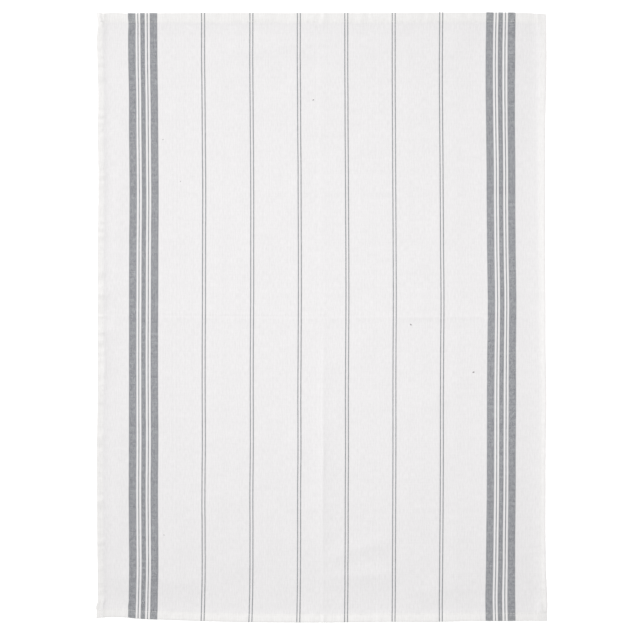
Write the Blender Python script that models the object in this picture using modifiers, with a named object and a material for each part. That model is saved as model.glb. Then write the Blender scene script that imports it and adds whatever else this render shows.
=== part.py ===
"""Tea towel: one sheet of woven cotton, hemmed on all four sides, lying face up and smoothed out.

A narrow hem runs down each long side and a wider one across each end. The sheet still carries
the two creases in which it was folded and pressed, a few soft wrinkles, bulky corners where
the hems cross, and a right edge that curls up a little.

+X runs across the towel, +Y up its length and +Z up from the surface that it lies on. The
origin is the middle of its footprint, on that surface. All sizes are in metres.
"""

from math import cos, radians, sin
from typing import NamedTuple

import bmesh
import bpy
import numpy as np

MM = 0.001

# Driving dimensions
WIDTH = 0.500
LENGTH = 0.680
CLOTH_THICKNESS = 1.0 * MM
HEM_THICKNESS = 1.9 * MM
SIDE_HEM = 6.7 * MM
BOTTOM_HEM = 9.4 * MM
TOP_HEM = 11.2 * MM

# A hem's section: how far in from its folded edge, as a share of the hem's width, and how much
# of the hem's extra thickness there is. The sewing pulls it in, and beyond the sewing it falls
# to the single cloth.
HEM_SECTION = np.array((
    # inward, share
    (0.00, 0.25),
    (0.10, 0.90),
    (0.45, 1.00),
    (1.00, 0.70),
))
SEAM_FALL = 3.0 * MM
FOLDED_EDGE_LIFT = 0.3 * MM

# A folded corner is blunt: its point is drawn in this far, and the points near it less
CORNER_ROUNDING = 1.2 * MM
CORNER_REACH = 7.0 * MM

# Spacing of the sheet's lines of points away from hems and creases, and their places on one
# side of a press crease
FIELD_PITCH = 12.0 * MM
CREASE_LINES = np.array((6.0, 2.4, 0.0)) * MM

# The edges aren't straight. Each row gives a place along the towel, from its bottom edge, and
# how far the left and right edges stand to the right of their straight lines there.
SIDE_EDGES = np.array((
    # along, left, right
    (0.000, -1.7, 1.9),
    (0.009, -1.4, 1.8),
    (0.013, -2.1, 1.9),
    (0.017, -0.9, 2.0),
    (0.025, -0.3, 1.7),
    (0.055, -0.5, 0.4),
    (0.090, -0.8, -0.2),
    (0.140, -1.0, -0.2),
    (0.200, -1.0, 0.0),
    (0.250, -0.4, 0.8),
    (0.300, -0.1, -0.2),
    (0.355, -0.4, -0.3),
    (0.420, -0.2, -0.7),
    (0.475, 0.3, -0.7),
    (0.505, 0.4, -0.6),
    (0.545, -0.4, -0.7),
    (0.585, 0.3, 0.0),
    (0.625, -0.75, 0.8),
    (0.658, -0.6, 0.8),
    (0.667, 0.3, 0.7),
    (0.673, -0.8, 0.5),
    (0.680, -1.2, 0.4),
)) * (1.0, MM, MM)

# Each row gives a place across the towel, from its left edge, and how far the bottom and top
# edges stand above their straight lines there. The bottom left corner is drawn up.
END_EDGES = np.array((
    # across, bottom, top
    (0.000, 4.4, 0.2),
    (0.018, 5.4, 0.4),
    (0.032, 4.9, 0.0),
    (0.050, 3.1, 0.2),
    (0.075, 2.3, -0.1),
    (0.110, 1.0, 0.1),
    (0.160, -0.2, 0.2),
    (0.250, -0.8, 0.1),
    (0.330, -0.1, 0.1),
    (0.380, -0.1, 0.5),
    (0.425, 0.9, 0.3),
    (0.455, 0.8, 0.2),
    (0.480, 1.0, -0.2),
    (0.500, 0.8, -1.3),
)) * (1.0, MM, MM)


class Ridge(NamedTuple):
    """A soft straight ridge of lifted cloth: its crest, its two flanks' widths and its height."""

    across: float
    along: float
    turn: float
    length: float
    left: float
    right: float
    height: float


# Places are from the middle of the towel. A ridge with no turn runs across it, and its left
# flank is then the upper one.
RIDGE_FLANK_POWER = 1.6
RIDGES = (
    # The cloth beside the press creases, whose lower part stands highest
    Ridge(0.000, 0.170, 90, 0.400, 0.020, 0.020, 0.30 * MM),
    Ridge(0.000, -0.160, 90, 0.270, 0.018, 0.022, 0.95 * MM),
    Ridge(0.001, -0.158, 90, 0.070, 0.018, 0.008, 1.50 * MM),
    Ridge(-0.130, 0.000, 0, 0.300, 0.020, 0.020, 0.30 * MM),
    Ridge(0.130, 0.000, 0, 0.300, 0.020, 0.020, 0.30 * MM),
    # The dent where the cross crease meets the left hem, between two bumps
    Ridge(-0.246, 0.023, 0, 0.026, 0.016, 0.013, 0.90 * MM),
    Ridge(-0.243, -0.018, 0, 0.036, 0.015, 0.026, 0.80 * MM),
    Ridge(-0.242, -0.052, 90, 0.080, 0.006, 0.013, 0.70 * MM),
    # Two wrinkles low down, right of the long crease, and the slack above them
    Ridge(0.050, -0.256, 11, 0.070, 0.018, 0.018, 0.70 * MM),
    Ridge(0.042, -0.289, 3, 0.100, 0.018, 0.019, 0.80 * MM),
    Ridge(0.010, -0.266, 15, 0.050, 0.020, 0.030, 0.50 * MM),
    # Slack cloth above the bottom hem
    Ridge(-0.190, -0.297, -3, 0.150, 0.045, 0.028, 0.85 * MM),
    Ridge(0.150, -0.303, 4, 0.150, 0.034, 0.024, 0.35 * MM),
    # Slack cloth inside the side hems and under the top hem
    Ridge(-0.225, -0.205, 90, 0.200, 0.014, 0.009, 0.45 * MM),
    Ridge(-0.226, 0.120, 88, 0.340, 0.012, 0.012, 0.35 * MM),
    Ridge(0.205, 0.225, 88, 0.220, 0.050, 0.031, 0.85 * MM),
    Ridge(0.202, 0.030, 91, 0.260, 0.050, 0.034, 0.75 * MM),
    Ridge(0.204, -0.190, 90, 0.300, 0.050, 0.032, 0.85 * MM),
    Ridge(0.210, 0.284, 60, 0.060, 0.026, 0.016, 0.90 * MM),
    Ridge(-0.060, 0.300, 6, 0.200, 0.030, 0.024, 0.45 * MM),
    Ridge(0.110, 0.298, -5, 0.140, 0.030, 0.024, 0.40 * MM),
)

# The press creases' own lines, which stand on those ridges
CREASE_REACH = 6.0 * MM
CREASES = (
    Ridge(0.000, 0.170, 90, 0.400, CREASE_REACH, CREASE_REACH, 0.25 * MM),
    Ridge(0.000, -0.170, 90, 0.400, CREASE_REACH, CREASE_REACH, 0.40 * MM),
    Ridge(0.130, 0.000, 0, 0.300, CREASE_REACH, CREASE_REACH, 0.25 * MM),
)

# The right edge curls up, most at its middle. The curl widens from its bottom to its top, and
# rises by a share of its width.
CURL_BOTTOM = 5.5 * MM
CURL_TOP = 10.0 * MM
CURL_RISE = 0.19

# Cloth that would stand off by less than this lies flat on the surface
LEAST_LIFT = 0.05 * MM

SHEET_NAME = "tea_towel"
CLOTH_COLOUR = (0.87, 0.86, 0.85, 1.0)
CLOTH_ROUGHNESS = 0.9


def along_curve(table, column, places):
    """Reads one column of a table at these places, on a smooth curve through its rows."""
    knots = table[:, 0]
    values = table[:, column]
    slopes = np.gradient(values, knots)
    places = np.clip(places, knots[0], knots[-1])
    row = np.clip(np.searchsorted(knots, places, side="right") - 1, 0, len(knots) - 2)
    span = knots[row + 1] - knots[row]
    part = (places - knots[row]) / span
    rest = 1.0 - part
    ends = values[row] * rest**2 * (1 + 2 * part) + values[row + 1] * part**2 * (1 + 2 * rest)
    turns = slopes[row] * part * rest**2 - slopes[row + 1] * rest * part**2
    return ends + span * turns


def half_of_lines(size, hem):
    """Distances from one edge of the sheet to its middle, closer at the hem and the crease."""
    edge = np.append(hem * HEM_SECTION[:, 0], hem + SEAM_FALL)
    crease = size / 2 - CREASE_LINES
    steps = round((crease[0] - edge[-1]) / FIELD_PITCH)
    field = np.linspace(edge[-1], crease[0], steps + 1)[1:-1]
    return np.concatenate((edge, field, crease))


def lines_of_points(size, near_hem, far_hem):
    """Distances from one edge of the sheet to the other."""
    near = half_of_lines(size, near_hem)
    far = half_of_lines(size, far_hem)
    return np.concatenate((near, size - far[-2::-1]))


def footprint(across, along):
    """Where points of the flat cut lie once the edges have drawn in and out."""
    left = along_curve(SIDE_EDGES, 1, along)
    right = along_curve(SIDE_EDGES, 2, along)
    bottom = along_curve(END_EDGES, 1, across)
    top = along_curve(END_EDGES, 2, across)
    share = across / WIDTH
    x = across + left * (1 - share) + right * share - WIDTH / 2
    share = along / LENGTH
    y = along + bottom * (1 - share) + top * share - LENGTH / 2
    return x, y


def hem_share(distance, hem):
    """How much of a hem's extra thickness there is at this distance in from its edge."""
    places = np.append(hem * HEM_SECTION[:, 0], hem + SEAM_FALL)
    return np.interp(distance, places, np.append(HEM_SECTION[:, 1], 0.0))


def thickness(across, along):
    """The sheet's thickness: hems add up where they cross at the corners."""
    side = hem_share(np.minimum(across, WIDTH - across), SIDE_HEM)
    end = np.maximum(hem_share(along, BOTTOM_HEM), hem_share(LENGTH - along, TOP_HEM))
    return CLOTH_THICKNESS + (HEM_THICKNESS - CLOTH_THICKNESS) * (side + end)


def ridge_height(ridge, x, y):
    """The lift that one ridge gives, which fades to nothing at its rim."""
    turn = radians(ridge.turn)
    along = (x - ridge.across) * cos(turn) + (y - ridge.along) * sin(turn)
    beside = (y - ridge.along) * cos(turn) - (x - ridge.across) * sin(turn)
    ends = np.clip(1 - (2 * along / ridge.length) ** 2, 0, 1)
    reach = np.where(beside > 0, ridge.left, ridge.right)
    flanks = np.clip(1 - np.abs(beside) / reach, 0, 1)
    return ridge.height * ends * flanks**RIDGE_FLANK_POWER


def curl_height(across, along):
    """The lift of the curled edge: steepest halfway up, and fading towards its two ends."""
    run = np.clip(along / LENGTH, 0, 1)
    width = CURL_BOTTOM + (CURL_TOP - CURL_BOTTOM) * run
    part = np.clip(1 - (WIDTH - across) / width, 0, 1)
    return CURL_RISE * width * part**2 * (3 - 2 * part) * np.sqrt(np.sin(np.pi * run))


def lift(x, y, across, along):
    """How far the underside stands off the surface: nothing wherever the towel touches."""
    height = np.max([ridge_height(ridge, x, y) for ridge in RIDGES], axis=0)
    height += sum(ridge_height(crease, x, y) for crease in CREASES) + curl_height(across, along)
    height = np.where(height < LEAST_LIFT, 0.0, height)
    at_edge = (across == 0) | (across == WIDTH) | (along == 0) | (along == LENGTH)
    return height + FOLDED_EDGE_LIFT * at_edge


def round_corner(across, along):
    """Draws the points near each corner in, so that a folded corner is blunt."""
    near_side = np.clip(1 - np.minimum(across, WIDTH - across) / CORNER_REACH, 0, 1)
    near_end = np.clip(1 - np.minimum(along, LENGTH - along) / CORNER_REACH, 0, 1)
    inward = CORNER_ROUNDING * (near_side * near_end) ** 2
    across = across + inward * np.sign(WIDTH / 2 - across)
    along = along + inward * np.sign(LENGTH / 2 - along)
    return across, along


def cloth_material():
    """Off-white cotton."""
    material = bpy.data.materials.new("cotton")
    material.use_nodes = True
    shader = material.node_tree.nodes["Principled BSDF"]
    shader.inputs["Base Color"].default_value = CLOTH_COLOUR
    shader.inputs["Roughness"].default_value = CLOTH_ROUGHNESS
    shader.inputs["Metallic"].default_value = 0.0
    return material


def sheet_mesh(columns, rows):
    """The underside of the sheet: a grid of points, and how thick the cloth is over each."""
    grid = bmesh.new()
    bmesh.ops.create_grid(grid, x_segments=len(columns) - 1, y_segments=len(rows) - 1, size=0.5)
    unit = np.array([point.co for point in grid.verts])
    across = columns[np.rint((unit[:, 0] + 0.5) * (len(columns) - 1)).astype(int)]
    along = rows[np.rint((unit[:, 1] + 0.5) * (len(rows) - 1)).astype(int)]
    x, y = footprint(*round_corner(across, along))
    z = lift(x, y, across, along)
    x -= (x.min() + x.max()) / 2
    y -= (y.min() + y.max()) / 2
    for point, place in zip(grid.verts, zip(x, y, z)):
        point.co = place
    mesh = bpy.data.meshes.new(SHEET_NAME)
    grid.to_mesh(mesh)
    grid.free()
    return mesh, thickness(across, along)


def make_towel():
    """The towel as one closed sheet, thicker over its hems and thickest at its corners."""
    columns = lines_of_points(WIDTH, SIDE_HEM, SIDE_HEM)
    rows = lines_of_points(LENGTH, BOTTOM_HEM, TOP_HEM)
    mesh, depth = sheet_mesh(columns, rows)
    towel = bpy.data.objects.new(SHEET_NAME, mesh)
    collection = bpy.data.collections.new(SHEET_NAME)
    bpy.context.scene.collection.children.link(collection)
    collection.objects.link(towel)
    mesh.materials.append(cloth_material())
    mesh.shade_smooth()
    layers = towel.vertex_groups.new(name="layers")
    for point, share in enumerate(depth / depth.max()):
        layers.add([point], share, "REPLACE")
    solid = towel.modifiers.new("thickness", "SOLIDIFY")
    solid.thickness = depth.max()
    solid.offset = 1.0
    solid.vertex_group = layers.name
    return towel


def clear_scene():
    """Removes whatever the scene starts with."""
    for item in list(bpy.data.objects):
        bpy.data.objects.remove(item, do_unlink=True)


def main():
    """Builds the towel in an empty scene."""
    clear_scene()
    make_towel()


main()
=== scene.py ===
"""Looks of a striped cotton tea towel, laid face up on a pale studio floor.

The towel is one closed, thin sheet of plain-woven cotton. Its four edges are really turned
under twice, the side hems first and then the end hems over them, so that the corners hold nine
layers. The weave, its grey warp stripes, the yarns' unevenness and the pull of the sewing all
follow the flat cut of the cloth, which the sheet carries as a map of places in metres. Sewing
thread and the seed specks caught in the yarn are pieces of their own.
"""

import logging
from dataclasses import dataclass
from enum import Enum
from math import cos, pi, radians, sin, tau
from typing import NamedTuple, Union

import bmesh
import bpy
import numpy as np
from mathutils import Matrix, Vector


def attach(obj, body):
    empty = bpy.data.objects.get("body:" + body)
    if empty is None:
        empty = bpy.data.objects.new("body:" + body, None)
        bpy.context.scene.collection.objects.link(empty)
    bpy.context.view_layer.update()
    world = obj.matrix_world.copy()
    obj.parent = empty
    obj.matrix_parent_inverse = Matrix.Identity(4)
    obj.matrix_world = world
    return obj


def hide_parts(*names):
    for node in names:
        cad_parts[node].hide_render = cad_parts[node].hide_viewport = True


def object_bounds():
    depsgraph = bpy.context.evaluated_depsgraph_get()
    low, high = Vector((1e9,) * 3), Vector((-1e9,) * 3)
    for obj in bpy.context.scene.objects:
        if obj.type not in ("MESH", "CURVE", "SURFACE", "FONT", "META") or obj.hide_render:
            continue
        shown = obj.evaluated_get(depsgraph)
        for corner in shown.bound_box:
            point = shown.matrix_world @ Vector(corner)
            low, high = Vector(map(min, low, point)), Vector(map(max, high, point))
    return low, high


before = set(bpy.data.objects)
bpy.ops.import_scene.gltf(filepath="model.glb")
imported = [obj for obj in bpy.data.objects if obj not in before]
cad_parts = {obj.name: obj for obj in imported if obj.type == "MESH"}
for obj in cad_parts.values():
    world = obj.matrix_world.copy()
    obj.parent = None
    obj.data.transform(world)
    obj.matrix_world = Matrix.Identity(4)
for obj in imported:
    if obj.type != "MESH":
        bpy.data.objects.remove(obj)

LOG = logging.getLogger("tea_towel")
MM = 0.001
CAD_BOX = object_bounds()
BODY = "root"
NODE = "tea_towel"
FLAT_MAP = "flat_cloth"
BAKE_MAP = "OFBake"

# A full range, and the ranges that a noise mostly, nearly always and half the time keeps to
UNIT = (0.0, 1.0)
NOISE = (0.3, 0.7)
WIDE_NOISE = (0.25, 0.75)
NARROW_NOISE = (0.35, 0.65)
PLAIN_WHITE = (1.0, 1.0, 1.0, 1.0)

Array = np.ndarray
Socket = bpy.types.NodeSocket
Value = Union[float, Socket]
Colour = tuple[float, float, float, float]


class Edge(Enum):
    """The towel's four edges."""

    LEFT = "left"
    RIGHT = "right"
    BOTTOM = "bottom"
    TOP = "top"


SIDES = (Edge.LEFT, Edge.RIGHT)


class Stretch(Enum):
    """The stretches of cloth in a hem, from its raw edge to the single cloth."""

    TUCK = "tuck"
    INNER_TURN = "inner turn"
    FLAP = "flap"
    OUTER_TURN = "outer turn"
    FACE = "face"
    FIELD = "field"


class Face(Enum):
    """The two faces of the cloth, by the way they look."""

    FRONT = 1
    BACK = -1


class Press(Enum):
    """The two ways in which a pressed crease stands."""

    RIDGE = "ridge"
    TROUGH = "trough"


class Lots(Enum):
    """The lots that yarns draw, by what is added to a yarn's number to keep them apart."""

    WARP_TONE = 0.37
    WEFT_TONE = 5000.61
    DYE = 7000.43
    COVER = 9000.21


class Station(NamedTuple):
    """One line of points of the sheet.

    Attributes:
        stretch: the stretch of the hem that it lies in.
        share: how far along that stretch, from the raw edge's end of it.
        flat: its distance in from the finished edge on the flat cut, negative if turned under.
    """

    stretch: Stretch
    share: float
    flat: float


class DriftRow(NamedTuple):
    """How far parts of the cloth stand to the right of their straight lines, in millimetres."""

    along: float
    left_edge: float
    left_band: float
    left_pairs: float
    middle: float
    right_pairs: float
    right_band: float
    right_edge: float


class EndRow(NamedTuple):
    """How far the two ends stand above their straight lines, in millimetres."""

    across: float
    bottom: float
    top: float


class Ridge(NamedTuple):
    """A soft ridge of lifted cloth.

    Attributes:
        across, along: its crest's middle, from the towel's middle.
        turn: the crest's direction in degrees, from the towel's right.
        length: its length.
        left, right: how wide its flanks are, to the left and right of its direction.
        height: its height.
    """

    across: float
    along: float
    turn: float
    length: float
    left: float
    right: float
    height: float


class Crease(NamedTuple):
    """A sharp pressed line: its middle, its turn in degrees, its length, height and way."""

    across: float
    along: float
    turn: float
    length: float
    height: float
    press: Press


class Curl(NamedTuple):
    """A strip of cloth that curls up along an edge.

    Attributes:
        edge: the edge.
        near, far: how wide the strip is at the edge's bottom or left end, and at its other end.
        rise: how high it ends, as a share of its width.
    """

    edge: Edge
    near: float
    far: float
    rise: float


class Pucker(NamedTuple):
    """A seam's ripples: its edge, their height, and a number that tells them from the others."""

    edge: Edge
    height: float
    phase: float


class Sway(NamedTuple):
    """A slow wave along a seam: its size, its length, and how it takes the seam's phase."""

    size: float
    length: float
    phase: float


class Speck(NamedTuple):
    """A seed speck: its place from the towel's middle, its length and its turn."""

    x: float
    y: float
    length: float
    turn: float


# ---------------------------------------------------------------------------------------------
# Small tools


def read_curve(knots: Array, values: Array, places: Array) -> Array:
    """Reads a smooth curve through a few points.

    Args:
        knots: where the points are, in rising order.
        values: the curve's values there.
        places: where to read it.

    Returns:
        The curve's value at each place.
    """
    slopes = np.gradient(values, knots)
    places = np.clip(places, knots[0], knots[-1])
    row = np.clip(np.searchsorted(knots, places, side="right") - 1, 0, len(knots) - 2)
    span = knots[row + 1] - knots[row]
    part = (places - knots[row]) / span
    rest = 1.0 - part
    ends = values[row] * rest**2 * (1 + 2 * part) + values[row + 1] * part**2 * (1 + 2 * rest)
    turns = slopes[row] * part * rest**2 - slopes[row + 1] * rest * part**2
    return ends + span * turns


def smooth_step(value: Array) -> Array:
    """Eases from 0 to 1 as the value goes from 0 to 1."""
    value = np.clip(value, 0.0, 1.0)
    return value * value * (3.0 - 2.0 * value)


def join_halves(near: Array, far: Array) -> Array:
    """Joins two halves, both listed from their edges to the same middle line."""
    return np.concatenate((near, far[-2::-1]))


def turned_places(mark: Union[Ridge, Crease], x: Array, y: Array) -> tuple[Array, Array]:
    """Measures places from the middle of a ridge or crease.

    Args:
        mark: the ridge or crease.
        x, y: the places, from the towel's middle.

    Returns:
        Their distances along it, and to the left of it.
    """
    turn = radians(mark.turn)
    right, up = x - mark.across, y - mark.along
    return right * cos(turn) + up * sin(turn), up * cos(turn) - right * sin(turn)


def new_mesh(name: str, points: Array, faces: list[list[int]]) -> bpy.types.Mesh:
    """Makes a mesh.

    Args:
        name: the mesh's name.
        points: its points, in rows of three numbers.
        faces: the numbers of each face's points.

    Returns:
        The mesh.
    """
    mesh = bpy.data.meshes.new(name)
    mesh.from_pydata(points.reshape(-1, 3).tolist(), [], faces)
    return mesh


def new_object(name: str, data: bpy.types.ID) -> bpy.types.Object:
    """Puts a mesh, a light or a camera into the scene.

    Args:
        name: the object's name.
        data: what it holds.

    Returns:
        The new object.
    """
    thing = bpy.data.objects.new(name, data)
    bpy.context.scene.collection.objects.link(thing)
    return thing


def write_map(mesh: bpy.types.Mesh, name: str, places: Array) -> None:
    """Gives a mesh a UV map.

    Args:
        mesh: the mesh.
        name: the map's name.
        places: each point's place on the map, one row of two for each point.
    """
    corners = np.empty(len(mesh.loops), np.int32)
    mesh.loops.foreach_get("vertex_index", corners)
    layer = mesh.uv_layers.new(name=name)
    layer.uv.foreach_set("vector", places[corners].astype(np.float32).ravel())


def add_piece(name: str, mesh: bpy.types.Mesh, material: bpy.types.Material) -> bpy.types.Object:
    """Makes a piece of the towel that rides on its body.

    Args:
        name: the piece's name.
        mesh: its mesh.
        material: its finish.

    Returns:
        The new object.
    """
    piece = new_object(name, mesh)
    mesh.materials.append(material)
    mesh.shade_smooth()
    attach(piece, BODY)
    return piece


class Wiring:
    """Short calls that add nodes to one material.

    Attributes:
        MIX_INPUTS: a colour Mix node's factor and two colours, among its inputs.
        MIX_OUTPUT: its mixed colour, among its outputs.
    """

    MIX_INPUTS = (0, 6, 7)
    MIX_OUTPUT = 2

    def __init__(self, name: str) -> None:
        """Makes a material with one Principled shader.

        Args:
            name: the material's name.
        """
        self.material = bpy.data.materials.new(name)
        self.material.use_nodes = True
        self.tree = self.material.node_tree
        self.shader = self.tree.nodes["Principled BSDF"]

    def feed(self, socket: Socket, value: Union[Value, Colour]) -> None:
        """Links a socket to an output, or sets its own value.

        Args:
            socket: the socket.
            value: the output, or the number or colour.
        """
        if isinstance(value, bpy.types.NodeSocket):
            self.tree.links.new(value, socket)
        else:
            socket.default_value = value

    def dress(self, inputs: dict[str, Union[Value, Colour]]) -> None:
        """Links or sets the shader's own sockets, by their names."""
        for name, value in inputs.items():
            self.feed(self.shader.inputs[name], value)

    def math(self, operation: str, *values: Value) -> Socket:
        """Adds a Math node.

        Args:
            operation: the node's operation.
            values: what goes into it.

        Returns:
            Its result.
        """
        node = self.tree.nodes.new("ShaderNodeMath")
        node.operation = operation
        for socket, value in zip(node.inputs, values):
            self.feed(socket, value)
        return node.outputs[0]

    def total(self, first: Value, *others: Value) -> Socket:
        """Adds up several values.

        Args:
            first: one value.
            others: the rest of them.

        Returns:
            Their sum.
        """
        for other in others:
            first = self.math("ADD", first, other)
        return first

    def times(self, first: Value, second: Value) -> Socket:
        """Multiplies two values."""
        return self.math("MULTIPLY", first, second)

    def less(self, first: Value, second: Value) -> Socket:
        """Takes the second value from the first."""
        return self.math("SUBTRACT", first, second)

    def wave(self, count: Value) -> Socket:
        """A cosine that changes sign from one whole count to the next."""
        return self.math("COSINE", self.times(count, pi))

    def ranged(self, value: Value, source: tuple[float, float], target: tuple[float, float],
               smooth: bool = False) -> Socket:
        """Adds a Map Range node, which holds its result inside the target.

        Args:
            value: what is mapped.
            source: the range it comes from.
            target: the range it goes to.
            smooth: whether it eases in and out.

        Returns:
            The mapped value.
        """
        node = self.tree.nodes.new("ShaderNodeMapRange")
        node.interpolation_type = "SMOOTHSTEP" if smooth else "LINEAR"
        for socket, number in zip(node.inputs, (value, *source, *target)):
            self.feed(socket, number)
        return node.outputs[0]

    def near_one(self, value: Value, source: tuple[float, float], swing: float) -> Socket:
        """Maps a value to a factor that is at most half the swing away from 1."""
        return self.ranged(value, source, (1.0 - swing / 2, 1.0 + swing / 2))

    def mix(self, factor: Value, first: Union[Colour, Socket], second: Union[Colour, Socket],
            blend: str = "MIX") -> Socket:
        """Mixes two colours.

        Args:
            factor: how much of the second there is.
            first: one colour.
            second: the other.
            blend: how they are blended.

        Returns:
            The mixed colour.
        """
        node = self.tree.nodes.new("ShaderNodeMix")
        node.data_type = "RGBA"
        node.blend_type = blend
        for place, value in zip(self.MIX_INPUTS, (factor, first, second)):
            self.feed(node.inputs[place], value)
        return node.outputs[self.MIX_OUTPUT]

    def toned(self, colour: Union[Colour, Socket], tone: Socket) -> Socket:
        """Multiplies a colour by a factor."""
        return self.mix(1.0, colour, self.vector(tone, tone, tone), "MULTIPLY")

    def vector(self, x: Value, y: Value = 0.0, z: Value = 0.0) -> Socket:
        """Puts three numbers together.

        Args:
            x, y, z: the numbers.

        Returns:
            The vector.
        """
        node = self.tree.nodes.new("ShaderNodeCombineXYZ")
        for socket, value in zip(node.inputs, (x, y, z)):
            self.feed(socket, value)
        return node.outputs[0]

    def noise(self, place: Socket, scale: float = 1.0, detail: float = 2.0) -> Socket:
        """Adds a flat noise, mostly from 0.3 to 0.7.

        Args:
            place: where it is read.
            scale: waves in a unit of length.
            detail: how many finer noises are laid over it.

        Returns:
            The noise.
        """
        node = self.tree.nodes.new("ShaderNodeTexNoise")
        node.noise_dimensions = "2D"
        node.inputs["Scale"].default_value = scale
        node.inputs["Detail"].default_value = detail
        self.feed(node.inputs["Vector"], place)
        return node.outputs[0]

    def lot(self, number: Value, lots: Lots) -> Socket:
        """Draws a lot for each yarn.

        Args:
            number: the yarn's number.
            lots: what the lots are for.

        Returns:
            Each yarn's lot, from 0 to 1.
        """
        node = self.tree.nodes.new("ShaderNodeTexWhiteNoise")
        node.noise_dimensions = "1D"
        self.feed(node.inputs["W"], self.total(number, lots.value))
        return node.outputs[0]

    def map_place(self, name: str) -> tuple[Socket, Socket]:
        """Reads a UV map.

        Args:
            name: the map's name.

        Returns:
            The two coordinates of the place.
        """
        source = self.tree.nodes.new("ShaderNodeUVMap")
        source.uv_map = name
        parts = self.tree.nodes.new("ShaderNodeSeparateXYZ")
        self.tree.links.new(source.outputs[0], parts.inputs[0])
        return parts.outputs[0], parts.outputs[1]

    def relief(self, height: Socket, depth: float, strength: float) -> None:
        """Raises the surface.

        Args:
            height: the relief, from 0 to 1.
            depth: how deep it is, in metres.
            strength: how much of it shows.
        """
        bump = self.tree.nodes.new("ShaderNodeBump")
        bump.inputs["Strength"].default_value = strength
        bump.inputs["Distance"].default_value = depth
        self.feed(bump.inputs["Height"], height)
        self.feed(self.shader.inputs["Normal"], bump.outputs[0])


# ---------------------------------------------------------------------------------------------
# Finishes


@dataclass(frozen=True)
class WarpPlan:
    """The order of the warp's yarns, counted both ways from the yarn in the middle.

    Attributes:
        middle: the middle yarn's distance from the left finished edge.
        pitch: from one warp yarn to the next.
        pair_repeat: yarns from one pair of fine lines to the next.
        pairs_each_way: pairs of fine lines on each side of the middle.
        pair_line: the yarn count from a pair's middle to the middle of one of its lines.
        band: the yarn in the middle of a side band.
        mid_bar, fine_line, outer_bar: each stripe's place in a band, and half its width, in yarns.
        shed: how much of the grey the yarns beside a stripe pick up.
    """

    middle: float = 250.8 * MM
    pitch: float = 0.5485 * MM
    pair_repeat: int = 97
    pairs_each_way: int = 3
    pair_line: tuple[float, float] = (3.0, 1.0)
    band: int = 364
    mid_bar: tuple[float, float] = (0.0, 4.5)
    fine_line: tuple[float, float] = (9.5, 1.0)
    outer_bar: tuple[float, float] = (22.0, 7.5)
    shed: float = 0.10

    def stripe(self, wiring: Wiring, count: Socket, middle: float, half: float) -> Socket:
        """Says which yarns one stripe takes.

        Args:
            wiring: the material's nodes.
            count: the yarn's number.
            middle: the number in the stripe's middle.
            half: half its width, in yarns.

        Returns:
            1 on its yarns, a little on the yarns beside them, and 0 elsewhere.
        """
        own = wiring.math("COMPARE", count, middle, half)
        beside = wiring.math("COMPARE", count, middle, half + 1.0)
        return wiring.math("MAXIMUM", own, wiring.times(beside, self.shed))

    def grey(self, wiring: Wiring, yarn: Socket) -> Socket:
        """Says which yarns are grey.

        Args:
            wiring: the material's nodes.
            yarn: the yarn's number from the middle one.

        Returns:
            1 on a grey yarn, a little on one beside a stripe, and 0 on a white one.
        """
        count = wiring.math("ABSOLUTE", yarn)
        place = wiring.math("MODULO", count, float(self.pair_repeat))
        from_pair = wiring.math("ABSOLUTE", wiring.less(place, self.pair_repeat / 2))
        line = self.stripe(wiring, from_pair, *self.pair_line)
        last = float(self.pair_repeat * self.pairs_each_way)
        line = wiring.times(line, wiring.math("LESS_THAN", count, last))
        from_band = wiring.math("ABSOLUTE", wiring.less(count, float(self.band)))
        stripes = [self.stripe(wiring, from_band, *stripe)
                   for stripe in (self.mid_bar, self.fine_line, self.outer_bar)]
        return wiring.total(line, *stripes)


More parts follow.
